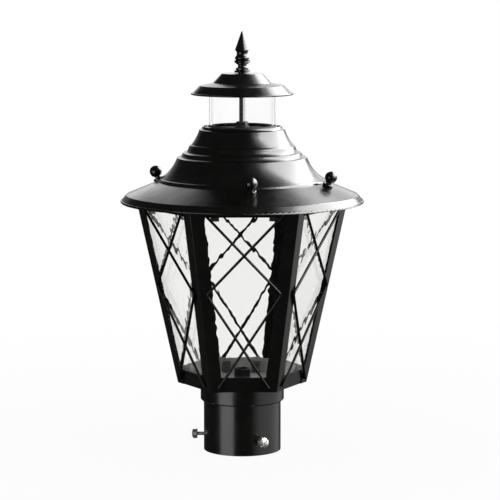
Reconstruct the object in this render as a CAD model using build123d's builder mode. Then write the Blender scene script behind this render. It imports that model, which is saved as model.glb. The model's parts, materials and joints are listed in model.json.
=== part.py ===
from build123d import *
from math import atan, cos, radians, sin, tan
import os

# Post top lantern: a tapered six sided cage of glass under a round spun roof, with a glass
# chimney, a small cap and a finial on top, and a tube below that drops over a lamp post.
# Millimetres. Z is up, the origin is the middle of the tube's open bottom, and the front
# of the lantern is at -Y. An azimuth is turned from the front towards +X.

os.makedirs("parts", exist_ok=True)

# ------------------------------------------------------------------ driving sizes
# Post fitter: a tube that drops over a 3 inch (76.2 mm) post, and the collar round its top
tube_outer_r = 41.0
tube_wall = 1.5
tube_len = 72.0
tube_mouth_break = 0.4  # chamfer inside the tube's upper end
collar_outer_r = 44.4
collar_len = 18.6
collar_chamfer = 1.4
fit_gap = 0.05  # radial gap of a pressed or threaded fit

# Set screws that grip the post
set_screw_count = 3
set_screw_azimuth = 26.0
set_screw_z = 15.5
set_screw_d = 4.0
set_screw_head_d = 10.6
set_screw_head_len = 4.2
set_screw_dome = 1.4
set_screw_stand_out = 7.4  # bare shank between the tube and the head
set_screw_tip_back = 0.3  # each tip waits this far back from the bore
set_screw_slot_w = 1.4
set_screw_slot_depth = 1.8

# Cage: a six sided taper, measured over its corners, standing on the tube
cage_turn = 1.5  # the whole cage is turned a little from square on
sheet = 1.0  # sheet metal of the cage
cage_bottom_r = 68.8  # over the corners, at the underside of the tray
cage_top_r = 112.0  # over the corners, at the top of the cage
cage_height = 196.0
post_flange = 13.0
post_bend_r = 1.6  # outside radius of the bend down each corner post
tray_rim_height = 16.0
top_band_height = 8.8
top_flange = 10.0
cable_hole_r = 7.0

# Panes, and the spring clips that hold them
glass_thick = 3.0
pane_side_gap = 0.8
pane_foot_gap = 0.1
pane_top_gap = 0.5
clip_sheet = 0.8
clip_width = 9.0
clip_height = 12.0
clip_foot = 6.0
lower_clip_spread = 16.0  # from the middle of a pane to each of its clips
upper_clip_spread = 30.0

# Lattice of round wire over each pane
wire_d = 2.8
wire_bend_r = 4.5
wire_top_x = 40.5
wire_top_drop = 5.0  # from the top of the cage down to the upper ends
wire_bend_x = 38.4
wire_bend_height = 106.0  # from the underside of the tray
wire_foot_x = 26.0
wire_foot_height = 5.0

# Roof: one spun shell. Its outline is a run of arcs, each with its foot and how far it swells
roof_wall = 1.0
roof_r = 128.2
roof_lip_drop = 2.5  # from the top of the cage down to the lip
lip_height = 7.5
lip_flare = 5.7
brim_slope = 22.6  # degrees below level
brim_roll_r = 2.2
hem_r = 1.0
brim_inner_r = 88.8
dome_foot_r = 85.4
dome_foot_rise = 22.6  # this height and the next two are above the top of the cage
dome_swell = 2.3
dome_fillet_swell = 0.7
bead_foot_r = 68.4
bead_foot_rise = 44.2
bead_run = 6.0
bead_rise = 5.0
bead_swell = 1.2
hollow_run = 2.9
hollow_rise = 3.8
hollow_swell = 0.6
upper_dome_swell = 0.95
shoulder_run = 3.4
shoulder_swell = 0.7
shoulder_r = 41.6
roof_rise = 77.0
roof_mouth_r = 30.0

# Ball knobs that screw down through the brim into tabs on the cage
knob_azimuths = (5.5, 70.5, 185.5, 250.5)
knob_foot_r = 94.2  # radius of the screw hole, on the outside of the brim
knob_ball_r = 6.4
knob_neck_r = 2.9
knob_neck_len = 1.6
knob_collar_r = 5.5
knob_collar_len = 2.6
knob_collar_bevel = 0.5
knob_shank_d = 4.0
knob_shank_len = 8.5
knob_hole_gap = 0.1
knob_seat_gap = 0.2
tab_width = 13.0
tab_sheet = 1.5
tab_foot_len = 9.6  # each tab's foot on the top flange, with its upright
tab_pad_back = 7.4  # from the knob's hole to the inner end of the tab's pad
tab_pad_front = 5.0  # and to its outer end
tab_seat_gap = 0.3
tab_slot_gap = 0.3
tab_slot_len = 3.6  # room for the screw's tip as the roof lifts straight up

# Chimney glass and its seals
chimney_outer_r = 34.7
chimney_wall = 2.5
seal_thick = 1.0
seal_lip = 1.2  # how far each seal stands out past the glass wall, on both sides

# Cap over the chimney
cap_wall = 1.0
cap_top_r = 21.7
cap_rise = 55.4
cap_shoulder_r = 30.9
cap_shoulder_drop = 9.9
cap_ledge_r = 44.7
cap_ledge_drop = 2.8
cap_rim_r = 53.9
cap_skirt_drop = 9.5
cap_rim_roll_r = 1.0

# Rod down the middle of the chimney, and the strap that holds it
rod_d = 6.2
rod_tail = 2.5  # rod showing below the lower nut
nut_flats = 11.0
nut_thick = 4.8
washer_r = 8.0
washer_thick = 1.2
strap_width = 16.0
strap_thick = 2.0
strap_half_len = 39.8
rivet_r = 38.2
rivet_d = 3.0
rivet_head_r = 1.8
rivet_head_h = 0.9

# Finial, turned from one bar: radii, and heights above the cap
finial_stem_r = 4.4
finial_stem_h = 1.0
finial_disc_r = 10.0
finial_disc_thick = 2.0
finial_neck_r = 6.6
finial_groove = 1.6
finial_bead_r = 8.8
finial_bead_h = 7.8
finial_upper_disc_h = 12.5
finial_waist_r = 5.6
finial_knop_r = 8.5
finial_knop_h = 21.2
finial_spire_r = 7.6
finial_spire_h = 24.4
finial_height = 43.8
finial_tip_r = 1.2
finial_bore_depth = 14.0
finial_seat_gap = 0.1

# Low lamp holder for a capsule lamp, on a plate screwed to the tray
plate_sheet = 1.2
plate_width = 16.0
plate_hole_r = 5.0
plate_screw_x = 16.0
plate_screw_d = 4.0
plate_screw_head_r = 3.6
plate_screw_head_h = 2.2
plate_screw_margin = 5.0  # from each screw to the end of the plate
holder_r = 8.5
holder_len = 13.0
holder_base = 4.0
holder_round = 1.0
recess_r = 5.6
contact_spread = 2.6  # from the middle of the holder to each contact
contact_r = 1.2
contact_bore_r = 0.6

# ------------------------------------------------------------------ worked out sizes
up = Vector(0, 0, 1)
tray_z = tube_len
cage_top_z = tray_z + cage_height
roof_lip_z = cage_top_z - roof_lip_drop
dome_foot_z = cage_top_z + dome_foot_rise
bead_foot_z = cage_top_z + bead_foot_rise
roof_top_z = cage_top_z + roof_rise
cap_top_z = roof_top_z + cap_rise
corner_slope = (cage_top_r - cage_bottom_r) / cage_height
flat_share = cos(radians(30))  # from a hexagon's corner radius to its flat
face_tilt = atan(corner_slope * flat_share)
level_sheet = sheet / cos(face_tilt)  # the cage's sheet, measured level
floor_z = tray_z + sheet
flange_z = cage_top_z - sheet
tube_inner_r = tube_outer_r - tube_wall
brim_tan = tan(radians(brim_slope))
brim_cos = cos(radians(brim_slope))
brim_edge_r = roof_r - lip_flare
brim_edge_z = roof_lip_z + lip_height
strap_z = roof_top_z - roof_wall
cap_shoulder_z = cap_top_z - cap_shoulder_drop
cap_ledge_z = cap_shoulder_z - cap_ledge_drop
cap_ledge_tan = cap_ledge_drop / (cap_ledge_r - cap_shoulder_r)
cap_ledge_cos = cos(atan(cap_ledge_tan))
seal_outer_r = chimney_outer_r + seal_lip
seal_inner_r = chimney_outer_r - chimney_wall - seal_lip
chimney_z = roof_top_z + seal_thick
holder_z = floor_z + plate_sheet


def outward(azimuth):
    """Level direction away from the middle at an azimuth."""
    return Vector(sin(radians(azimuth)), -cos(radians(azimuth)), 0)


def across(azimuth):
    """Level direction square to outward, towards a larger azimuth."""
    return Vector(cos(radians(azimuth)), sin(radians(azimuth)), 0)


def upright(azimuth, aside=0.0):
    """Upright plane through the middle, x outward and y up, moved aside if asked."""
    return Plane(origin=across(azimuth) * aside, x_dir=outward(azimuth), z_dir=across(azimuth) * -1)


def corner_r(z):
    """Radius over the corners of the cage at a height."""
    return cage_bottom_r + (z - tray_z) * corner_slope


def flat_r(z, inset=0.0):
    """Distance of a cage face from the middle at a height, inset square to the face."""
    return corner_r(z) * flat_share - inset / cos(face_tilt)


def face_plane(face, inset=0.0):
    """Plane on a cage face, x level and y up the face, starting at the tray's underside."""
    azimuth = cage_turn + 60 * face
    normal = outward(azimuth) * cos(face_tilt) - up * sin(face_tilt)
    foot = outward(azimuth) * flat_r(tray_z) + up * tray_z
    return Plane(origin=foot - normal * inset, x_dir=across(azimuth), z_dir=normal)


def up_face(z, inset=0.0):
    """Distance up a face plane, with its inset, of a height."""
    return (z - tray_z - inset * sin(face_tilt)) / cos(face_tilt)


def hexagon(z, inset):
    """Level hexagon inside the cage at a height."""
    with BuildSketch(Plane.XY.offset(z), mode=Mode.PRIVATE) as outline:
        RegularPolygon(flat_r(z, inset) / flat_share, 6, rotation=cage_turn)
    return outline.sketch


def brim_z(r):
    """Height of the outside of the brim at a radius."""
    return brim_edge_z + (brim_edge_r - r) * brim_tan


def knob_plane(azimuth):
    """Plane on the brim at a knob, x down the brim and z out along the knob's screw."""
    level = outward(azimuth)
    return Plane(
        origin=level * knob_foot_r + up * brim_z(knob_foot_r),
        x_dir=level * brim_cos - up * (brim_cos * brim_tan),
        z_dir=level * (brim_cos * brim_tan) + up * brim_cos,
    )


def cap_underside(r):
    """Height of the underside of the cap's ledge at a radius."""
    return cap_shoulder_z - (r - cap_shoulder_r) * cap_ledge_tan - cap_wall / cap_ledge_cos


def ring(inner_r, outer_r, low_z, high_z):
    """Plain ring, washer or tube standing on the middle line."""
    with BuildPart(mode=Mode.PRIVATE) as turned:
        with BuildSketch(Plane.XY.offset(low_z)):
            Circle(outer_r)
            if inner_r > 0:
                Circle(inner_r, mode=Mode.SUBTRACT)
        extrude(amount=high_z - low_z)
    return turned.part


def hex_nut(bore_r, flats, low_z, high_z):
    """Hexagon nut on the middle line, its corners turned off at top and bottom."""
    corner = flats / 2 / flat_share
    bevel = corner - flats / 2
    with BuildPart(mode=Mode.PRIVATE) as nut:
        with BuildSketch(Plane.XY.offset(low_z)):
            RegularPolygon(flats / 2, 6, major_radius=False)
            Circle(bore_r, mode=Mode.SUBTRACT)
        extrude(amount=high_z - low_z)
        with BuildSketch(Plane.XZ):
            with BuildLine():
                Polyline(
                    (0, low_z),
                    (flats / 2, low_z),
                    (corner, low_z + bevel / 2),
                    (corner, high_z - bevel / 2),
                    (flats / 2, high_z),
                    (0, high_z),
                    close=True,
                )
            make_face()
        revolve(axis=Axis.Z, mode=Mode.INTERSECT)
    return nut.part


def save(piece, label):
    """Name a finished piece and write it out."""
    piece.label = label
    export_step(piece, f"parts/{label}.step")


# ------------------------------------------------------------------ post fitter
def set_screw_turn(number):
    """Azimuth of one of the set screws."""
    return set_screw_azimuth + number * 360 / set_screw_count


with BuildPart() as fitter_tube:
    add(ring(tube_inner_r, tube_outer_r, 0, tube_len))
    for number in range(set_screw_count):
        azimuth = set_screw_turn(number)
        with BuildSketch(Plane(origin=up * set_screw_z, x_dir=across(azimuth), z_dir=outward(azimuth))):
            Circle(set_screw_d / 2 + fit_gap)
        extrude(amount=tube_outer_r + tube_wall, mode=Mode.SUBTRACT)
    mouth_edges = fitter_tube.edges().group_by(Axis.Z)[-1]
    chamfer(mouth_edges.sort_by(SortBy.LENGTH)[0], length=tube_mouth_break)
save(fitter_tube.part, "fitter_tube")

with BuildPart() as fitter_collar:
    add(ring(tube_outer_r + fit_gap, collar_outer_r, tube_len - collar_len, tube_len))
    bottom_edges = fitter_collar.edges().group_by(Axis.Z)[0]
    chamfer(bottom_edges.sort_by(SortBy.LENGTH)[-1], length=collar_chamfer)
save(fitter_collar.part, "fitter_collar")

for number in range(set_screw_count):
    azimuth = set_screw_turn(number)
    head_start = tube_outer_r + set_screw_stand_out
    head_end = head_start + set_screw_head_len
    crown = head_end + set_screw_dome
    shank_z = set_screw_z + set_screw_d / 2
    rim_z = set_screw_z + set_screw_head_d / 2
    tip_r = tube_inner_r + set_screw_tip_back
    with BuildPart() as set_screw:
        with BuildSketch(upright(azimuth)):
            with BuildLine():
                Polyline(
                    (crown, set_screw_z),
                    (tip_r, set_screw_z),
                    (tip_r, shank_z),
                    (head_start, shank_z),
                    (head_start, rim_z),
                    (head_end, rim_z),
                )
                TangentArc((crown, set_screw_z), (head_end, rim_z), tangent=(0, 1), tangent_from_first=True)
            make_face()
        revolve(axis=Axis(origin=up * set_screw_z, direction=outward(azimuth)))
        slot_plane = Plane(
            origin=outward(azimuth) * crown + up * set_screw_z,
            x_dir=across(azimuth) + up,
            z_dir=outward(azimuth),
        )
        with BuildSketch(slot_plane):
            Rectangle(2 * set_screw_head_d, set_screw_slot_w)
        extrude(amount=-set_screw_slot_depth, mode=Mode.SUBTRACT)
    save(set_screw.part, f"set_screw_{number + 1}")

# ------------------------------------------------------------------ cage
with BuildPart() as base_tray:
    rim_top_z = tray_z + tray_rim_height
    loft([hexagon(tray_z, sheet), hexagon(rim_top_z, sheet)])
    fillet(base_tray.edges().sort_by(SortBy.LENGTH)[:6], radius=post_bend_r - sheet + fit_gap)
    loft([hexagon(floor_z, 2 * sheet), hexagon(rim_top_z, 2 * sheet)], mode=Mode.SUBTRACT)
    with BuildSketch(Plane.XY.offset(tray_z)):
        Circle(cable_hole_r)
        with Locations((plate_screw_x, 0), (-plate_screw_x, 0)):
            Circle(plate_screw_d / 2 + fit_gap)
    extrude(amount=sheet, mode=Mode.SUBTRACT)
save(base_tray.part, "base_tray")

with BuildPart() as top_band:
    band_z = cage_top_z - top_band_height
    loft([hexagon(band_z, sheet), hexagon(cage_top_z, sheet)])
    fillet(top_band.edges().sort_by(SortBy.LENGTH)[:6], radius=post_bend_r - sheet + fit_gap)
    loft([hexagon(band_z, 2 * sheet), hexagon(flange_z, 2 * sheet)], mode=Mode.SUBTRACT)
    with BuildSketch(Plane.XY.offset(flange_z)):
        add(hexagon(flange_z, sheet + top_flange).face())
    extrude(amount=sheet, mode=Mode.SUBTRACT)
save(top_band.part, "top_band")

for corner in range(6):
    azimuth = cage_turn + 30 + 60 * corner
    corner_line = outward(azimuth) * (cage_top_r - cage_bottom_r) + up * cage_height
    leg_x = cage_bottom_r - post_flange * sin(radians(30))
    leg_y = post_flange * flat_share
    step_x = level_sheet * flat_share
    step_y = level_sheet * sin(radians(30))
    with BuildPart() as corner_post:
        with BuildSketch(Plane(origin=up * tray_z, x_dir=outward(azimuth), z_dir=up)) as angle_section:
            with BuildLine():
                Polyline(
                    (cage_bottom_r, 0),
                    (leg_x, leg_y),
                    (leg_x - step_x, leg_y - step_y),
                    (cage_bottom_r - level_sheet / flat_share, 0),
                    (leg_x - step_x, step_y - leg_y),
                    (leg_x, -leg_y),
                    close=True,
                )
            make_face()
            fillet(angle_section.vertices().sort_by(Axis.X)[-2], radius=post_bend_r - sheet)
            fillet(angle_section.vertices().sort_by(Axis.X)[-1], radius=post_bend_r)
        extrude(amount=corner_line.length, dir=corner_line.normalized())
    save(corner_post.part, f"corner_post_{corner + 1}")

# ------------------------------------------------------------------ panes and clips
pane_inset = 2 * sheet + glass_thick
pane_foot_z = floor_z + pane_foot_gap
pane_head_z = flange_z - pane_top_gap - glass_thick * sin(face_tilt)


def pane_half(z):
    """Half the width of a pane at a height of its outer face."""
    return flat_r(z, pane_inset) * tan(radians(30)) - pane_side_gap


for face in range(6):
    with BuildPart() as pane:
        with BuildSketch(face_plane(face, 2 * sheet)):
            foot_y = up_face(pane_foot_z, 2 * sheet)
            head_y = up_face(pane_head_z, 2 * sheet)
            with BuildLine():
                Polyline(
                    (-pane_half(pane_foot_z), foot_y),
                    (pane_half(pane_foot_z), foot_y),
                    (pane_half(pane_head_z), head_y),
                    (-pane_half(pane_head_z), head_y),
                    close=True,
                )
            make_face()
        extrude(amount=-glass_thick)
    save(pane.part, f"glass_pane_{face + 1}")


def clip_set(seat_z, way, spread):
    """Bent spring clips on a level seat, two behind each pane, rising (1) or hanging (-1)."""
    tip_z = seat_z + way * clip_height
    bend_z = seat_z + way * clip_sheet
    heel = flat_r(seat_z, pane_inset)
    tip = flat_r(tip_z, pane_inset)
    with BuildPart(mode=Mode.PRIVATE) as clips:
        for face in range(6):
            for aside in (-spread, spread):
                with BuildSketch(upright(cage_turn + 60 * face, aside)):
                    with BuildLine():
                        Polyline(
                            (heel, seat_z),
                            (tip, tip_z),
                            (tip - clip_sheet, tip_z),
                            (flat_r(bend_z, pane_inset) - clip_sheet, bend_z),
                            (heel - clip_foot, bend_z),
                            (heel - clip_foot, seat_z),
                            close=True,
                        )
                    make_face()
                extrude(amount=clip_width / 2, both=True)
    return clips.part


save(clip_set(floor_z, 1, lower_clip_spread), "lower_pane_clips")
save(clip_set(flange_z, -1, upper_clip_spread), "upper_pane_clips")

# ------------------------------------------------------------------ lattice
for face in range(6):
    wire_plane = face_plane(face, -wire_d / 2)
    with BuildPart() as lattice:
        with BuildLine(wire_plane) as route:
            FilletPolyline(
                (-wire_top_x, up_face(cage_top_z - wire_top_drop)),
                (wire_bend_x, up_face(tray_z + wire_bend_height)),
                (-wire_foot_x, up_face(tray_z + wire_foot_height)),
                radius=wire_bend_r,
            )
        with BuildSketch(Plane(origin=route.line @ 0, z_dir=route.line % 0)):
            Circle(wire_d / 2)
        sweep(path=route.line)
        mirror(about=Plane(origin=wire_plane.origin, x_dir=wire_plane.z_dir, z_dir=wire_plane.x_dir))
    save(lattice.part, f"lattice_{face + 1}")

# ------------------------------------------------------------------ roof
with BuildPart() as roof:
    with BuildSketch(Plane.XZ):
        bead_mid = (bead_foot_r - bead_run, bead_foot_z + bead_rise)
        bead_top = (bead_foot_r - 2 * bead_run, bead_foot_z + 2 * bead_rise)
        upper_foot = (bead_top[0] - hollow_run, bead_top[1] + hollow_rise)
        shoulder_foot = (shoulder_r + shoulder_run, roof_top_z - shoulder_run)
        with BuildLine():
            Line((roof_mouth_r, roof_top_z), (shoulder_r, roof_top_z))
            SagittaArc((shoulder_r, roof_top_z), shoulder_foot, -shoulder_swell)
            SagittaArc(shoulder_foot, upper_foot, -upper_dome_swell)
            SagittaArc(upper_foot, bead_top, hollow_swell)
            SagittaArc(bead_top, bead_mid, -bead_swell)
            SagittaArc(bead_mid, (bead_foot_r, bead_foot_z), -bead_swell)
            SagittaArc((bead_foot_r, bead_foot_z), (dome_foot_r, dome_foot_z), -dome_swell)
            SagittaArc(
                (dome_foot_r, dome_foot_z), (brim_inner_r, brim_z(brim_inner_r)), dome_fillet_swell
            )
            FilletPolyline(
                (brim_inner_r, brim_z(brim_inner_r)),
                (brim_edge_r, brim_edge_z),
                (roof_r, roof_lip_z),
                radius=brim_roll_r,
            )
            offset(amount=roof_wall, side=Side.RIGHT)
        make_face()
        with Locations((roof_r - hem_r, roof_lip_z + hem_r)):
            Circle(hem_r)
    revolve(axis=Axis.Z)
    for azimuth in knob_azimuths:
        with BuildSketch(knob_plane(azimuth)):
            Circle(knob_shank_d / 2 + knob_hole_gap)
        extrude(amount=3 * roof_wall, both=True, mode=Mode.SUBTRACT)
    with BuildSketch(Plane.XY.offset(strap_z)):
        with Locations((rivet_r, 0), (-rivet_r, 0)):
            Circle(rivet_d / 2 + fit_gap)
    extrude(amount=roof_wall, mode=Mode.SUBTRACT)
save(roof.part, "roof")

# ------------------------------------------------------------------ knobs and their tabs
for number, azimuth in enumerate(knob_azimuths):
    seat = knob_plane(azimuth)
    collar_top = knob_seat_gap + knob_collar_len
    ball_dip = knob_ball_r - (knob_ball_r**2 - knob_neck_r**2) ** 0.5
    ball_foot = collar_top + knob_neck_len
    ball_mid = ball_foot - ball_dip + knob_ball_r
    with BuildPart() as knob:
        with BuildSketch(Plane(origin=seat.origin, x_dir=seat.x_dir, z_dir=across(azimuth) * -1)):
            with BuildLine():
                Polyline(
                    (0, ball_mid + knob_ball_r),
                    (0, -knob_shank_len),
                    (knob_shank_d / 2, -knob_shank_len),
                    (knob_shank_d / 2, knob_seat_gap),
                    (knob_collar_r, knob_seat_gap),
                    (knob_collar_r, collar_top - knob_collar_bevel),
                    (knob_collar_r - knob_collar_bevel, collar_top),
                    (knob_neck_r, collar_top),
                    (knob_neck_r, ball_foot),
                )
                ThreePointArc(
                    (knob_neck_r, ball_foot), (knob_ball_r, ball_mid), (0, ball_mid + knob_ball_r)
                )
            make_face()
        revolve(axis=Axis(origin=seat.origin, direction=seat.z_dir))
    save(knob.part, f"roof_knob_{number + 1}")


def under_brim(r, depth):
    """Height at a radius of a line under the brim, a depth below its outside face."""
    return brim_z(r) - depth / brim_cos


tab_foot_r = flat_r(cage_top_z, sheet)
tab_leg_r = tab_foot_r - tab_foot_len
tab_upright_r = tab_leg_r + tab_sheet
pad_inner_r = min(tab_leg_r, knob_foot_r - tab_pad_back)
pad_outer_r = max(tab_upright_r, knob_foot_r + tab_pad_front)
pad_top = roof_wall + tab_seat_gap
pad_bottom = pad_top + tab_sheet

with BuildPart() as roof_tabs:
    for azimuth in knob_azimuths:
        with BuildSketch(upright(azimuth)):
            with BuildLine():
                Polyline(
                    (tab_leg_r, cage_top_z),
                    (tab_foot_r, cage_top_z),
                    (tab_foot_r, cage_top_z + tab_sheet),
                    (tab_upright_r, cage_top_z + tab_sheet),
                    (tab_upright_r, under_brim(tab_upright_r, pad_top)),
                    (tab_leg_r, under_brim(tab_leg_r, pad_top)),
                    close=True,
                )
            make_face()
            with BuildLine():
                Polyline(
                    (pad_inner_r, under_brim(pad_inner_r, pad_bottom)),
                    (pad_outer_r, under_brim(pad_outer_r, pad_bottom)),
                    (pad_outer_r, under_brim(pad_outer_r, pad_top)),
                    (pad_inner_r, under_brim(pad_inner_r, pad_top)),
                    close=True,
                )
            make_face()
        extrude(amount=tab_width / 2, both=True)
        slot_half = knob_shank_d / 2 + tab_slot_gap
        with BuildSketch(knob_plane(azimuth).offset(-roof_wall)):
            with Locations((-tab_slot_len / 2, 0)):
                SlotCenterToCenter(tab_slot_len, 2 * slot_half)
        extrude(amount=roof_wall - pad_bottom - tab_seat_gap, mode=Mode.SUBTRACT)
save(roof_tabs.part, "roof_tabs")

# ------------------------------------------------------------------ rod and its strap
rod_r = rod_d / 2
rod_hole_r = rod_r + fit_gap
strap_low_z = strap_z - strap_thick
nut_low_z = strap_low_z - nut_thick
washer_top_z = strap_z + washer_thick

with BuildPart() as rod_strap:
    with BuildSketch(Plane.XY.offset(strap_low_z)):
        Rectangle(2 * strap_half_len, strap_width)
        Circle(rod_hole_r, mode=Mode.SUBTRACT)
        with Locations((rivet_r, 0), (-rivet_r, 0)):
            Circle(rivet_d / 2 + fit_gap, mode=Mode.SUBTRACT)
    extrude(amount=strap_thick)
save(rod_strap.part, "rod_strap")

with BuildPart() as strap_rivets:
    for rivet_x in (-rivet_r, rivet_r):
        with BuildSketch(Plane.XY.offset(strap_low_z)):
            with Locations((rivet_x, 0)):
                Circle(rivet_d / 2)
        extrude(amount=roof_top_z - strap_low_z)
        for head_z, head_way in ((roof_top_z, 1), (strap_low_z, -1)):
            with BuildSketch(Plane.XY.offset(head_z)):
                with Locations((rivet_x, 0)):
                    Circle(rivet_head_r)
            extrude(amount=head_way * rivet_head_h)
save(strap_rivets.part, "strap_rivets")

with BuildPart() as centre_rod:
    add(ring(0, rod_r, nut_low_z - rod_tail, cap_top_z + finial_bore_depth - rod_tail))
    chamfer(centre_rod.edges().group_by(Axis.Z)[0], length=rod_d / 10)
save(centre_rod.part, "centre_rod")

with BuildPart() as rod_nuts:
    add(hex_nut(rod_hole_r, nut_flats, nut_low_z, strap_low_z))
    add(hex_nut(rod_hole_r, nut_flats, washer_top_z, washer_top_z + nut_thick))
save(rod_nuts.part, "rod_nuts")

save(ring(rod_hole_r, washer_r, strap_z, washer_top_z), "rod_washer")

# ------------------------------------------------------------------ chimney and cap
chimney_top_z = cap_underside(seal_outer_r) - seal_thick

save(ring(seal_inner_r, seal_outer_r, roof_top_z, chimney_z), "lower_seal")
save(ring(chimney_outer_r - chimney_wall, chimney_outer_r, chimney_z, chimney_top_z), "chimney_glass")

with BuildPart() as upper_seal:
    with BuildSketch(Plane.XZ):
        with BuildLine():
            Polyline(
                (seal_inner_r, chimney_top_z),
                (seal_outer_r, chimney_top_z),
                (seal_outer_r, cap_underside(seal_outer_r)),
                (seal_inner_r, cap_underside(seal_inner_r)),
                close=True,
            )
        make_face()
    revolve(axis=Axis.Z)
save(upper_seal.part, "upper_seal")

with BuildPart() as chimney_cap:
    cap_rim_z = cap_ledge_z - cap_skirt_drop
    rim_mid = (cap_rim_r - cap_rim_roll_r, cap_rim_z + cap_rim_roll_r)
    with BuildSketch(Plane.XZ):
        with BuildLine():
            Polyline(
                (rod_hole_r, cap_top_z),
                (cap_top_r, cap_top_z),
                (cap_shoulder_r, cap_shoulder_z),
                (cap_ledge_r, cap_ledge_z),
                rim_mid,
            )
            offset(amount=cap_wall, side=Side.RIGHT, kind=Kind.INTERSECTION)
        make_face()
        with Locations(rim_mid):
            Circle(cap_rim_roll_r)
    revolve(axis=Axis.Z)
save(chimney_cap.part, "chimney_cap")

# ------------------------------------------------------------------ finial
disc_edge_r = finial_disc_r - finial_disc_thick / 2
lower_disc_top = finial_stem_h + finial_disc_thick
upper_disc_low = finial_upper_disc_h - finial_disc_thick / 2
upper_disc_top = finial_upper_disc_h + finial_disc_thick / 2
bead_half = upper_disc_low - finial_groove - finial_bead_h
knop_half = finial_spire_h - finial_knop_h

with BuildPart() as finial:
    with BuildSketch(Plane(origin=up * cap_top_z, x_dir=(1, 0, 0), z_dir=(0, -1, 0))):
        with BuildLine():
            Polyline(
                (0, finial_height),
                (0, finial_bore_depth),
                (rod_hole_r, finial_bore_depth),
                (rod_hole_r, finial_seat_gap),
                (finial_stem_r, finial_seat_gap),
                (finial_stem_r, finial_stem_h),
                (disc_edge_r, finial_stem_h),
            )
            SagittaArc((disc_edge_r, finial_stem_h), (disc_edge_r, lower_disc_top), finial_disc_thick / 2)
            Polyline(
                (disc_edge_r, lower_disc_top),
                (finial_neck_r, lower_disc_top + finial_groove / 2),
                (finial_neck_r, finial_bead_h - bead_half),
            )
            SagittaArc(
                (finial_neck_r, finial_bead_h - bead_half),
                (finial_neck_r, finial_bead_h + bead_half),
                finial_bead_r - finial_neck_r,
            )
            Polyline(
                (finial_neck_r, finial_bead_h + bead_half),
                (finial_neck_r, upper_disc_low - finial_groove / 2),
                (disc_edge_r, upper_disc_low),
            )
            SagittaArc((disc_edge_r, upper_disc_low), (disc_edge_r, upper_disc_top), finial_disc_thick / 2)
            Line((disc_edge_r, upper_disc_top), (finial_neck_r, upper_disc_top + finial_groove / 2))
            SagittaArc(
                (finial_neck_r, upper_disc_top + finial_groove / 2),
                (finial_neck_r, finial_knop_h - knop_half),
                finial_waist_r - finial_neck_r,
            )
            SagittaArc(
                (finial_neck_r, finial_knop_h - knop_half),
                (finial_spire_r, finial_spire_h),
                finial_knop_r - (finial_neck_r + finial_spire_r) / 2,
            )
            Line((finial_spire_r, finial_spire_h), (finial_tip_r, finial_height - finial_tip_r))
            ThreePointArc(
                (finial_tip_r, finial_height - finial_tip_r),
                (finial_tip_r * sin(radians(45)), finial_height - finial_tip_r * (1 - cos(radians(45)))),
                (0, finial_height),
            )
        make_face()
    revolve(axis=Axis.Z)
save(finial.part, "finial")

# ------------------------------------------------------------------ lamp holder
recess_floor_z = holder_z + holder_base
contact_places = [(-contact_spread, 0), (contact_spread, 0)]
screw_places = [(-plate_screw_x, 0), (plate_screw_x, 0)]

with BuildPart() as holder_plate:
    with BuildSketch(Plane.XY.offset(floor_z)):
        RectangleRounded(
            2 * (plate_screw_x + plate_screw_margin), plate_width, plate_screw_margin
        )
        Circle(plate_hole_r, mode=Mode.SUBTRACT)
        with Locations(*screw_places):
            Circle(plate_screw_d / 2 + fit_gap, mode=Mode.SUBTRACT)
    extrude(amount=plate_sheet)
save(holder_plate.part, "holder_plate")

with BuildPart() as plate_screws:
    with BuildSketch(Plane.XY.offset(tray_z)):
        with Locations(*screw_places):
            Circle(plate_screw_d / 2)
    extrude(amount=holder_z - tray_z)
    with BuildSketch(Plane.XY.offset(holder_z)):
        with Locations(*screw_places):
            Circle(plate_screw_head_r)
    extrude(amount=plate_screw_head_h)
    fillet(plate_screws.edges().group_by(Axis.Z)[-1], radius=plate_screw_head_h / 2)
save(plate_screws.part, "plate_screws")

with BuildPart() as lamp_holder:
    with BuildSketch(Plane.XY.offset(holder_z)):
        Circle(holder_r)
    extrude(amount=holder_len)
    fillet(lamp_holder.edges().group_by(Axis.Z)[-1], radius=holder_round)
    with BuildSketch(Plane.XY.offset(recess_floor_z)):
        Circle(recess_r)
    extrude(amount=holder_len, mode=Mode.SUBTRACT)
    with BuildSketch(Plane.XY.offset(holder_z)):
        with Locations(*contact_places):
            Circle(contact_r + fit_gap)
    extrude(amount=holder_base, mode=Mode.SUBTRACT)
save(lamp_holder.part, "lamp_holder")

with BuildPart() as holder_contacts:
    with BuildSketch(Plane.XY.offset(holder_z)):
        with Locations(*contact_places):
            Circle(contact_r)
            Circle(contact_bore_r, mode=Mode.SUBTRACT)
    extrude(amount=holder_base)
save(holder_contacts.part, "holder_contacts")
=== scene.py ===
# %% [markdown]
# # A post top lantern, dressed in Blender
# The lantern is a six-sided cage of black sheet metal with rippled glass panes,
# under a round spun roof with four ball-headed screws, a glass chimney and a finial.
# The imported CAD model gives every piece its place. This lesson adds what CAD can't:
# paint, plating and poured glass with ripples in it, and soft studio light.

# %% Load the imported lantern
import json
import math

import bmesh
import bpy
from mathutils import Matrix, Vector, noise


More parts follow.
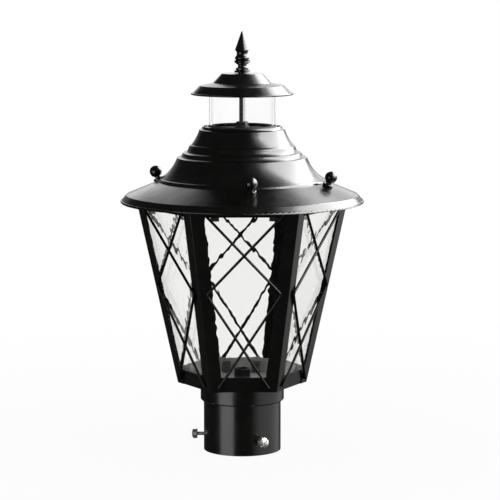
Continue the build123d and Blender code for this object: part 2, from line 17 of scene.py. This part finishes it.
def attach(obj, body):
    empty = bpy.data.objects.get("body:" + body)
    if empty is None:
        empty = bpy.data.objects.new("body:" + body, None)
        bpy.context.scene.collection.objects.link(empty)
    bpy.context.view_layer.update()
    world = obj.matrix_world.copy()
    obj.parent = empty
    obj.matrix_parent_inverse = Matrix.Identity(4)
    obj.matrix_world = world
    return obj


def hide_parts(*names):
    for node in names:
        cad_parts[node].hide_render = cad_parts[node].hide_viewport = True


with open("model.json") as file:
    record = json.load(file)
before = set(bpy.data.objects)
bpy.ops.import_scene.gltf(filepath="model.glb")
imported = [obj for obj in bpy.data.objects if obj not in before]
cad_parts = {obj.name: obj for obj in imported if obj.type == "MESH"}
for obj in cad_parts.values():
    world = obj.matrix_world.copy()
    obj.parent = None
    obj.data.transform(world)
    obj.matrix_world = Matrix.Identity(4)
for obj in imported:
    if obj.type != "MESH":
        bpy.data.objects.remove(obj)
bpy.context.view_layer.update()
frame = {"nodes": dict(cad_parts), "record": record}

parts = frame["nodes"]

# %% [markdown]
# The photograph was taken from a little above, with a long lens, so the lantern hardly
# tapers with distance. The camera stands 2.4 m away and 0.53 m up. Moving the camera and
# its target sideways together keeps the lantern's axis where it is in the picture, and
# unlike a turn of the camera it doesn't change how the lantern is seen.

# %% Camera
camera_side = 0.00825    # metres to the right of the lantern's axis
camera_back = 2.4
camera_height = 0.53
target_height = 0.21373
lens_length = 164.74     # millimetres, as is the width of the sensor
sensor_width = 36.0

camera_at = Vector((camera_side, -camera_back, camera_height))
camera_target = Vector((camera_side, 0.0, target_height))
camera_data = bpy.data.cameras.new("lantern_camera")
camera_data.lens = lens_length
camera_data.sensor_width = sensor_width
camera = bpy.data.objects.new("lantern_camera", camera_data)
camera.location = camera_at
camera.rotation_euler = (camera_target - camera_at).to_track_quat("-Z", "Y").to_euler()
bpy.context.scene.collection.objects.link(camera)
bpy.context.scene.camera = camera
bpy.context.scene.view_settings.view_transform = "Standard"
print("camera", tuple(round(v, 3) for v in camera.location))


# %% [markdown]
# Every finish is a small node tree. It could be wired by hand in the shader editor, but
# the finishes here are much alike. So one helper starts a Principled material, and another
# adds a node and fills its sockets, so that each recipe below reads as a short list.

# %% Node helpers
def start_material(name):
    """A new material with only a Principled shader and its output."""
    material = bpy.data.materials.new(name)
    material.use_nodes = True
    tree = material.node_tree
    return material, tree, tree.nodes["Principled BSDF"]


def add_node(tree, kind, settings=None, **sockets):
    """One node with its settings and sockets, by name or as _number. An output is linked."""
    node = tree.nodes.new(kind)
    for name, value in (settings or {}).items():
        setattr(node, name, value)
    for name, value in sockets.items():
        socket = node.inputs[int(name[1:])] if name[0] == "_" else node.inputs[name]
        if isinstance(value, bpy.types.NodeSocket):
            tree.links.new(value, socket)
        else:
            socket.default_value = value
    return node


def work_out(tree, operation, first, second=0.0, third=0.0):
    """One step of arithmetic."""
    return add_node(tree, "ShaderNodeMath", {"operation": operation},
                    _0=first, _1=second, _2=third).outputs[0]


def mix_numbers(tree, factor, first, second):
    """A number between two others. These are the Mix node's sockets for numbers."""
    return add_node(tree, "ShaderNodeMix", {"data_type": "FLOAT"},
                    _0=factor, _2=first, _3=second).outputs[0]


def mix_colours(tree, factor, first, second):
    """A colour between two others. These are the Mix node's sockets for colours."""
    return add_node(tree, "ShaderNodeMix", {"data_type": "RGBA"},
                    _0=factor, _6=first, _7=second).outputs[2]


def ramp(tree, value, low, high, to_low, to_high):
    """A value stretched from one range to another and kept inside it."""
    stretch = add_node(tree, "ShaderNodeMapRange", {"clamp": True}, Value=value)
    for socket, number in zip(("From Min", "From Max", "To Min", "To Max"),
                              (low, high, to_low, to_high)):
        stretch.inputs[socket].default_value = number
    return stretch.outputs["Result"]


print("node helpers: a material, a node, arithmetic, two mixes and a ramp")


# %% [markdown]
# A coat of paint or plating is never quite even: its tone, its gloss and its skin all
# wander a little. Noise in the object's own metres gives all three, at the same real
# size on every piece, and it stays put on a piece that moves.

# %% Finish helpers
def speckle(tree, scale, detail=3.0, roughness=0.55):
    """Noise in the object's own metres."""
    place = add_node(tree, "ShaderNodeTexCoord")
    return add_node(tree, "ShaderNodeTexNoise", Vector=place.outputs["Object"], Scale=scale,
                    Detail=detail, Roughness=roughness).outputs["Fac"]


def two_tone(tree, factor, dark, light):
    """A colour between two tones."""
    return mix_colours(tree, factor, (*dark, 1.0), (*light, 1.0))


patch_range = (0.3, 0.7)    # the part of the noise that the patches of a finish use
skin_detail = 2.0


def finish(name, dark, light, rough=(0.3, 0.4), grain=300.0, metal=0.0, gloss=0.5,
           bump_scale=800.0, bump=0.05, bump_depth=0.0001):
    """A paint, plating or moulding: two tones, uneven gloss and a fine skin."""
    material, tree, shader = start_material(name)
    patches = speckle(tree, grain)
    tree.links.new(two_tone(tree, ramp(tree, patches, *patch_range, 0.0, 1.0), dark, light),
                   shader.inputs["Base Color"])
    tree.links.new(ramp(tree, patches, *patch_range, *rough), shader.inputs["Roughness"])
    skin = add_node(tree, "ShaderNodeBump", Height=speckle(tree, bump_scale, skin_detail),
                    Strength=bump, Distance=bump_depth)
    tree.links.new(skin.outputs["Normal"], shader.inputs["Normal"])
    shader.inputs["Metallic"].default_value = metal
    shader.inputs["Specular IOR Level"].default_value = gloss
    return material


print("finish helpers: speckle, two_tone, finish")

# %% [markdown]
# The body is sprayed steel: black enamel, baked hard. It is nearly black, so what the eye
# reads is its gloss. A flat black would look like a hole, so the gloss is uneven and a faint
# orange peel from the spray gun breaks up the reflections.

# %% Black enamel
black_tones = ((0.0026, 0.0026, 0.0023), (0.0046, 0.0046, 0.0041))
enamel_rough = (0.19, 0.26)
enamel_grain = 55.0

black_enamel = finish("black_enamel", *black_tones, rough=enamel_rough, grain=enamel_grain,
                      bump_scale=420.0, bump=0.12, bump_depth=0.00006)
print("finish:", black_enamel.name)

# %% [markdown]
# Inside, the tray is enamelled white, so that it throws the lamp's light up and out: the
# foot of each pane shows pale, not black. The tray could be cut into two pieces for its two
# colours, but it is one sheet, so the paint knows its side instead: a face that looks at the
# lantern's axis, or up from the floor of the tray, is inside.

# %% Tray enamel, white inside and black outside
white_tones = ((0.82, 0.815, 0.79), (0.88, 0.875, 0.86))
tray_floor_top = 0.0735
facing_limit = 0.5       # cosine past which a face looks inward, or up

tray_enamel, tree, shader = start_material("tray_enamel")
surface = add_node(tree, "ShaderNodeNewGeometry")
facing = add_node(tree, "ShaderNodeSeparateXYZ", Vector=surface.outputs["Normal"])
spot = add_node(tree, "ShaderNodeSeparateXYZ", Vector=surface.outputs["Position"])
flat_spot = add_node(tree, "ShaderNodeCombineXYZ", X=spot.outputs["X"], Y=spot.outputs["Y"])
outward = add_node(tree, "ShaderNodeVectorMath", {"operation": "NORMALIZE"}, _0=flat_spot.outputs[0])
toward = add_node(tree, "ShaderNodeVectorMath", {"operation": "DOT_PRODUCT"},
                  _0=surface.outputs["Normal"], _1=outward.outputs[0])
inner_wall = work_out(tree, "LESS_THAN", toward.outputs["Value"], -facing_limit)
looks_up = work_out(tree, "GREATER_THAN", facing.outputs["Z"], facing_limit)
is_low = work_out(tree, "LESS_THAN", spot.outputs["Z"], tray_floor_top)
inside = work_out(tree, "MAXIMUM", inner_wall, work_out(tree, "MULTIPLY", looks_up, is_low))
patches = ramp(tree, speckle(tree, enamel_grain), *patch_range, 0.0, 1.0)
coat = mix_colours(tree, inside, two_tone(tree, patches, *black_tones),
                   two_tone(tree, patches, *white_tones))
tree.links.new(coat, shader.inputs["Base Color"])
tree.links.new(ramp(tree, patches, 0.0, 1.0, *enamel_rough), shader.inputs["Roughness"])
print("finish:", tray_enamel.name)

# %% [markdown]
# The set screws are bright nickel plate, slightly warm, and the rod is polished chrome, which
# is colder and sharper. The clips, nuts, washer and plate inside are zinc plated: greyer, with
# a crystal mottle. The contacts in the lamp holder are bare brass. All are metals with
# different tones and roughness, because that is how they differ.

# %% Platings
bright_nickel = finish("bright_nickel", (0.74, 0.725, 0.69), (0.88, 0.87, 0.84),
                       rough=(0.30, 0.40), grain=500.0, metal=1.0)
rod_chrome = finish("rod_chrome", (0.66, 0.66, 0.66), (0.80, 0.80, 0.80),
                    rough=(0.05, 0.12), grain=260.0, metal=1.0, bump=0.03)
zinc_plated_steel = finish("zinc_plated_steel", (0.30, 0.31, 0.32), (0.52, 0.53, 0.52),
                           rough=(0.28, 0.46), grain=420.0, metal=1.0, bump=0.1)
contact_brass = finish("contact_brass", (0.46, 0.30, 0.10), (0.68, 0.48, 0.20),
                       rough=(0.22, 0.4), grain=350.0, metal=1.0, bump=0.1)
print("platings:", bright_nickel.name, rod_chrome.name, zinc_plated_steel.name, contact_brass.name)

# %% [markdown]
# The lamp holder is black phenolic, a moulding with a soft gloss. The rings at the ends of
# the chimney are silicone, dull and dark. The lattice wire is dipped, not sprayed, so its
# enamel is thinner and a little less glossy than the sheet metal's.

# %% Phenolic, silicone and dipped wire
black_phenolic = finish("black_phenolic", (0.010, 0.010, 0.011), (0.018, 0.018, 0.019),
                        rough=(0.30, 0.42), grain=160.0, bump_scale=500.0, bump=0.08)
seal_silicone = finish("seal_silicone", (0.020, 0.020, 0.020), (0.035, 0.035, 0.034),
                       rough=(0.45, 0.6), bump=0.1)
wire_enamel = finish("wire_enamel", *black_tones, rough=(0.24, 0.34), grain=120.0, gloss=0.28)
print("mouldings and wire:", black_phenolic.name, seal_silicone.name, wire_enamel.name)


# %% [markdown]
# Glass is one clear shader with full transmission. Its thickness and its ripples could be
# faked with a bump, but here they are real geometry, so the light bends where the glass
# does. The panes have the faint cast of soda glass. The chimney is blown thin, so its glass
# is set to bend light less, which keeps the edges of the tube light.

# %% Glass
glass_haze = (0.0, 0.02)    # roughness, from the clearest patch to the dullest
haze_grain = 60.0
haze_range = (0.35, 0.7)
cast_grain = 25.0
cast_range = (0.35, 0.65)
cast_depth = 0.985          # the darker patches of the tint, beside the lighter


def clear_glass(name, tint, bend):
    """Solid clear glass, with a little haze in it."""
    material, tree, shader = start_material(name)
    haze = ramp(tree, speckle(tree, haze_grain), *haze_range, *glass_haze)
    tree.links.new(haze, shader.inputs["Roughness"])
    cast = ramp(tree, speckle(tree, cast_grain), *cast_range, 0.0, 1.0)
    tree.links.new(two_tone(tree, cast, tuple(c * cast_depth for c in tint), tint),
                   shader.inputs["Base Color"])
    shader.inputs["Transmission Weight"].default_value = 1.0
    shader.inputs["IOR"].default_value = bend
    return material


cage_glass = clear_glass("cage_glass", tint=(0.993, 0.996, 0.982), bend=1.45)
chimney_glass = clear_glass("chimney_glass", tint=(0.992, 0.996, 0.992), bend=1.12)
print("glass:", cage_glass.name, chimney_glass.name)

# %% [markdown]
# Painting the pieces one by one would take 47 steps. The record already says which finish
# each CAD node has, so one loop paints them all. Only the lattices and the tray get a
# variety of the black enamel that the record gives them.

# %% Paint the CAD nodes
finishes = {"black_enamel": black_enamel, "bright_nickel": bright_nickel,
            "rod_chrome": rod_chrome, "zinc_plated_steel": zinc_plated_steel,
            "contact_brass": contact_brass, "black_phenolic": black_phenolic,
            "seal_silicone": seal_silicone, "cage_glass": cage_glass,
            "chimney_glass": chimney_glass}
for row in frame["record"]["subparts"]:
    paint = finishes[row["material_slot"]]
    if row["node"].startswith("lattice_"):
        paint = wire_enamel
    if row["node"] == "base_tray":
        paint = tray_enamel
    for slot in parts[row["node"]].material_slots:
        slot.material = paint

# %% [markdown]
# Black gloss paint shows the room, so the room is what gives this lantern its form. The
# background is white to the camera and through glass. In reflections the studio is mostly
# dark, with a bright side on the right and a dimmer one behind, which gives the long soft
# edges down the tube and across the roof. A picture of a real studio could do this, but a
# few ramps of the direction say plainly where each wall is.

# %% Studio walls
matt_light = 0.60         # what matt surfaces get from all round
matt_light_inside = 1.0   # and what they get through a pane, which stops the key light
dark_side = 0.035         # the black walls of the studio, in reflections
right_side = 0.95         # the bright wall on the right
right_edge = (0.45, 0.80)     # it fades in between these shares of straight right
right_foot = (-0.40, -0.25)   # and between these shares of straight up
far_side = 0.30           # the paler wall behind the lantern
far_edge = (0.75, 0.95)
far_foot = (-0.05, 0.05)
far_head = (0.35, 0.60)

world = bpy.data.worlds.new("studio")
bpy.context.scene.world = world
world.use_nodes = True
tree = world.node_tree
direction = add_node(tree, "ShaderNodeSeparateXYZ",
                     Vector=add_node(tree, "ShaderNodeTexCoord").outputs["Generated"])
right_wall = work_out(tree, "MULTIPLY", ramp(tree, direction.outputs["X"], *right_edge, 0.0, right_side),
                      ramp(tree, direction.outputs["Z"], *right_foot, 0.0, 1.0))
far_wall = work_out(tree, "MULTIPLY", ramp(tree, direction.outputs["Y"], *far_edge, 0.0, far_side),
                    ramp(tree, direction.outputs["Z"], *far_foot, 0.0, 1.0))
far_wall = work_out(tree, "MULTIPLY", far_wall,
                    ramp(tree, direction.outputs["Z"], *far_head, 1.0, 0.0))
reflected = work_out(tree, "MAXIMUM", work_out(tree, "MAXIMUM", right_wall, far_wall), dark_side)
print("walls:", right_side, far_side, "in the dark:", dark_side)

# %% [markdown]
# What the world shows then depends on the ray that meets it. A ray from the camera, or one
# that has only passed through glass, sees plain white. A ray that has met a mirror-like
# surface sees the walls. Any other ray lights a matt surface.

# %% Studio light
first_bounce = 0.5        # a depth below this means that the ray hasn't bounced that way yet
one_wall = 2.5            # a ray through one wall of glass has crossed two surfaces
backward = 0.3            # share of straight back

path = add_node(tree, "ShaderNodeLightPath")
undiffused = work_out(tree, "LESS_THAN", path.outputs["Diffuse Depth"], first_bounce)
unmirrored = work_out(tree, "LESS_THAN", path.outputs["Glossy Depth"], first_bounce)
# A ray that glances along the rim of the chimney may mirror in it and still leave to the back
thin = work_out(tree, "LESS_THAN", path.outputs["Transmission Depth"], one_wall)
leaves_back = work_out(tree, "GREATER_THAN", direction.outputs["Y"], backward)
grazed = work_out(tree, "MULTIPLY", thin, leaves_back)
clear_way = work_out(tree, "MULTIPLY", undiffused, work_out(tree, "MAXIMUM", unmirrored, grazed))
through_glass = work_out(tree, "MULTIPLY", path.outputs["Is Transmission Ray"], clear_way)
straight = work_out(tree, "MAXIMUM", path.outputs["Is Camera Ray"], through_glass)
mirrored = work_out(tree, "GREATER_THAN", path.outputs["Glossy Depth"], first_bounce)
matt = ramp(tree, path.outputs["Is Transmission Ray"], 0.0, 1.0, matt_light, matt_light_inside)
bounced = mix_numbers(tree, mirrored, matt, reflected)
sky = tree.nodes["Background"]
tree.links.new(work_out(tree, "MAXIMUM", straight, bounced), sky.inputs["Strength"])
sky.inputs["Color"].default_value = (1, 1, 1, 1)
print("world:", world.name, "nodes:", len(tree.nodes))


# %% [markdown]
# The lantern stands on white paper. A plain plane would do, but a disc has no corner that
# could come into a view. The paper glows for the camera, so it meets the white background,
# except close in, where a little of its own shading keeps the soft shadow.

# %% Floor
floor_radius = 3.0
floor_rings = 6
floor_spokes = 96
floor_z = -0.0005        # just under the foot of the tube, so that no faces coincide
paper_tone = (0.86, 0.86, 0.86, 1)
glow_range = (0.15, 0.9)      # metres from the axis, over which the glow grows
glow_share = (0.94, 1.0)      # and its share at the two ends


def round_floor(radius, rings, spokes):
    """A flat disc of rings, just under the lantern."""
    mesh = bpy.data.meshes.new("studio_floor")
    build = bmesh.new()
    centre = build.verts.new((0, 0, floor_z))
    turns = [2 * math.pi * k / spokes for k in range(spokes)]
    last = None
    for ring in range(1, rings + 1):
        r = radius * ring / rings
        loop = [build.verts.new((r * math.cos(a), r * math.sin(a), floor_z)) for a in turns]
        for k in range(spokes):
            n = (k + 1) % spokes
            if last is None:
                build.faces.new((centre, loop[k], loop[n]))
            else:
                build.faces.new((last[k], loop[k], loop[n], last[n]))
        last = loop
    build.to_mesh(mesh)
    build.free()
    floor = bpy.data.objects.new("studio_floor", mesh)
    bpy.context.scene.collection.objects.link(floor)
    return floor


floor = round_floor(floor_radius, floor_rings, floor_spokes)
floor.visible_glossy = False
floor.visible_shadow = False
floor.visible_transmission = False
floor_paper, tree, shader = start_material("floor_paper")
shader.inputs["Base Color"].default_value = paper_tone
shader.inputs["Roughness"].default_value = 0.9
shader.inputs["Specular IOR Level"].default_value = 0.0
glow = add_node(tree, "ShaderNodeEmission", Color=(1, 1, 1, 1), Strength=1.0)
floor_spot = add_node(tree, "ShaderNodeTexCoord").outputs["Object"]
reach = add_node(tree, "ShaderNodeVectorMath", {"operation": "LENGTH"}, _0=floor_spot)
edge = ramp(tree, reach.outputs["Value"], *glow_range, *glow_share)
view_path = add_node(tree, "ShaderNodeLightPath")
seen = work_out(tree, "MAXIMUM", view_path.outputs["Is Camera Ray"],
                view_path.outputs["Is Transmission Ray"])
seen = work_out(tree, "MAXIMUM", seen, view_path.outputs["Is Glossy Ray"])
blend = add_node(tree, "ShaderNodeMixShader", _0=work_out(tree, "MULTIPLY", seen, edge),
                 _1=shader.outputs[0], _2=glow.outputs[0])
tree.links.new(blend.outputs[0], tree.nodes["Material Output"].inputs["Surface"])
floor.data.materials.append(floor_paper)
print("floor faces:", len(floor.data.polygons))


# %% [markdown]
# Four soft panels make the highlights: a long bright window of light on the right, a wider
# dim one that softens its edge, a strip over the back and a tall panel at the front left.
# They show only in gloss, so they can be as bright as the paint needs and leave the rest
# alone. One plain key light, with the world, lights the matt surfaces.

# %% Lamps
lantern_middle = Vector((0, 0, 0.22))


def softbox(name, azimuth, elevation, distance, wide, tall, radiance):
    """An area lamp placed by azimuth from the front and height angle, aimed at the lantern."""
    data = bpy.data.lights.new(name, "AREA")
    data.shape = "RECTANGLE"
    data.size, data.size_y = wide, tall
    data.energy = radiance * math.pi * wide * tall
    lamp = bpy.data.objects.new(name, data)
    turn, lift = math.radians(azimuth), math.radians(elevation)
    lamp.location = lantern_middle + distance * Vector((
        math.sin(turn) * math.cos(lift), -math.cos(turn) * math.cos(lift), math.sin(lift)))
    lamp.rotation_euler = (lantern_middle - lamp.location).to_track_quat("-Z", "Y").to_euler()
    bpy.context.scene.collection.objects.link(lamp)
    lamp.visible_camera = False
    return lamp


highlights = [
    softbox("right_window", azimuth=101, elevation=35, distance=1.6, wide=2.8, tall=1.3, radiance=11.0),
    softbox("right_halo", azimuth=98, elevation=33, distance=1.9, wide=5.0, tall=2.4, radiance=2.0),
    softbox("back_panel", azimuth=177, elevation=27, distance=1.6, wide=1.2, tall=1.2, radiance=1.35),
    softbox("left_panel", azimuth=-46, elevation=-6, distance=1.6, wide=1.2, tall=1.0, radiance=2.7),
]
for lamp in highlights:
    lamp.visible_diffuse = False
    lamp.visible_transmission = False
key_light = softbox("key_light", azimuth=60, elevation=42, distance=1.8, wide=1.0, tall=1.0, radiance=1.1)
key_light.visible_glossy = False
key_light.visible_transmission = False
print("lamps:", len(highlights) + 1)

# %% [markdown]
# The panes are poured water glass. Each one leans outward with its face of the cage, which
# is a six-sided taper turned a little from square on. So a place on a pane is given by its
# height and its share of the half width there, and the taper does the rest.

# %% Places on a pane
tray_z = 0.072           # metres, as are all of these but the turn
cage_height = 0.196
cage_turn = math.radians(1.5)
corner_bottom = 0.0688   # from the axis to a corner of the cage, at its foot
corner_top = 0.1120      # and at its top
pane_foot = 0.0731
pane_head = 0.2658
pane_side_gap = 0.0036   # from a corner of the cage to the edge of the pane
glass_inset = 0.002      # behind the face of the cage
glass_thick = 0.003

slope = (corner_top - corner_bottom) / cage_height
flat_share = math.cos(math.radians(30))    # from a corner's distance to a face's
lean = math.atan(slope * flat_share)


def pane_axes(face):
    """The directions of a face of the cage: level outward, along it, and square out of it."""
    azimuth = cage_turn + math.radians(60 * (face - 1))
    out = Vector((math.sin(azimuth), -math.cos(azimuth), 0))
    along = Vector((math.cos(azimuth), math.sin(azimuth), 0))
    normal = (out * math.cos(lean) - Vector((0, 0, math.sin(lean)))).normalized()
    return out, along, normal


def pane_point(axes, share, z, inset):
    """A point on a pane, from its share of the half width, its height and its inset."""
    out, along, normal = axes
    corner = corner_bottom + slope * (z - tray_z)
    half = corner * 0.5 - pane_side_gap
    return out * (corner * flat_share) + Vector((0, 0, z)) + along * (half * share) - normal * inset


print("panes lean", round(math.degrees(lean), 1), "degrees")


# %% [markdown]
# Glass that was poured and rolled has ripples: broad swells with finer ones on them, taller
# than they are wide. A tenth of a millimetre is enough to break the lattice behind it into
# wandering lines. A bump would bend the reflections but not the view through the glass, so
# the outer skin of each pane really rises and falls. The ripples die out at the edges, where
# the clips hold the glass.

# %% Ripples
ripple_step = 0.0012       # metres between the points of a skin
pane_width = 0.105         # about a pane's width at its head
broad_ripple = 0.00010     # how far the glass rises and falls
fine_ripple = 0.000055
broad_size = (0.020, 0.028)      # how wide and how tall a ripple is
fine_size = (0.0048, 0.0064)
broad_shift = 7.3          # steps through the noise, so that no two panes are alike
fine_shift = 3.1
fine_start = (11, 5)
ripple_z = 0.2             # the height where the ripples have their own size
ripple_half = 0.05         # and half the width of the pattern there, which tapers with the pane
side_fade = 14             # one over the share of the half width where the ripples die out
end_fade = 5               # the rows where they do at head and foot

pane_rows = int((pane_head - pane_foot) / ripple_step)
pane_columns = int(pane_width / ripple_step)


def ripple(face, x, z):
    """How far the poured glass stands out at a place on a pane."""
    broad = noise.noise(Vector((x / broad_size[0], z / broad_size[1], broad_shift * face)))
    fine = noise.noise(Vector((x / fine_size[0] + fine_start[0], z / fine_size[1],
                               fine_shift * face + fine_start[1])))
    return broad_ripple * broad + fine_ripple * fine


def pane_skin(build, face, inset, rippled):
    """A grid of points over one side of a pane, in rows from its foot up."""
    axes = pane_axes(face)
    rows = []
    for j in range(pane_rows + 1):
        z = pane_foot + (pane_head - pane_foot) * j / pane_rows
        row = []
        for i in range(pane_columns + 1):
            share = 2 * i / pane_columns - 1
            place = pane_point(axes, share, z, inset)
            if rippled:
                fade = min(1.0, (1 - abs(share)) * side_fade, j / end_fade, (pane_rows - j) / end_fade)
                place += axes[2] * ripple(face, share * ripple_half * z / ripple_z, z) * fade
            row.append(build.verts.new(place))
        rows.append(row)
    return rows


print("points on a skin:", (pane_rows + 1) * (pane_columns + 1))


# %% [markdown]
# Each pane is a thin solid: a rippled outer skin, a flat inner one and ground edges between
# them. It takes the place of the plain CAD pane and rides on the cage with it.

# %% Panes
sharp_angle = 0.7          # radians, past which an edge of the glass stays sharp


def close_pane(build, outer, inner):
    """The faces of both skins, and the ground edges that join them."""
    for rows, flip in ((outer, False), (inner, True)):
        for j in range(pane_rows):
            for i in range(pane_columns):
                loop = [rows[j][i], rows[j][i + 1], rows[j + 1][i + 1], rows[j + 1][i]]
                build.faces.new(loop[::-1] if flip else loop)
    rim = ([(0, i) for i in range(pane_columns)]
           + [(j, pane_columns) for j in range(pane_rows)]
           + [(pane_rows, i) for i in range(pane_columns, 0, -1)]
           + [(j, 0) for j in range(pane_rows, 0, -1)])
    for k, (j, i) in enumerate(rim):
        n, m = rim[(k + 1) % len(rim)]
        build.faces.new((outer[j][i], inner[j][i], inner[n][m], outer[n][m]))


def rippled_pane(face):
    """A thin solid pane of poured glass, in place of a CAD pane."""
    mesh = bpy.data.meshes.new(f"water_pane_{face}")
    build = bmesh.new()
    outer = pane_skin(build, face, glass_inset, True)
    inner = pane_skin(build, face, glass_inset + glass_thick, False)
    close_pane(build, outer, inner)
    for side in build.faces:
        side.smooth = True
    for line in build.edges:
        if len(line.link_faces) == 2 and line.calc_face_angle() > sharp_angle:
            line.smooth = False
    build.to_mesh(mesh)
    build.free()
    pane = bpy.data.objects.new(f"water_pane_{face}", mesh)
    bpy.context.scene.collection.objects.link(pane)
    mesh.materials.append(cage_glass)
    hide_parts(f"glass_pane_{face}")
    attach(pane, "cage")
    return pane


panes = [rippled_pane(face) for face in range(1, 7)]
print("panes:", len(panes), "faces each:", len(panes[0].data.polygons))
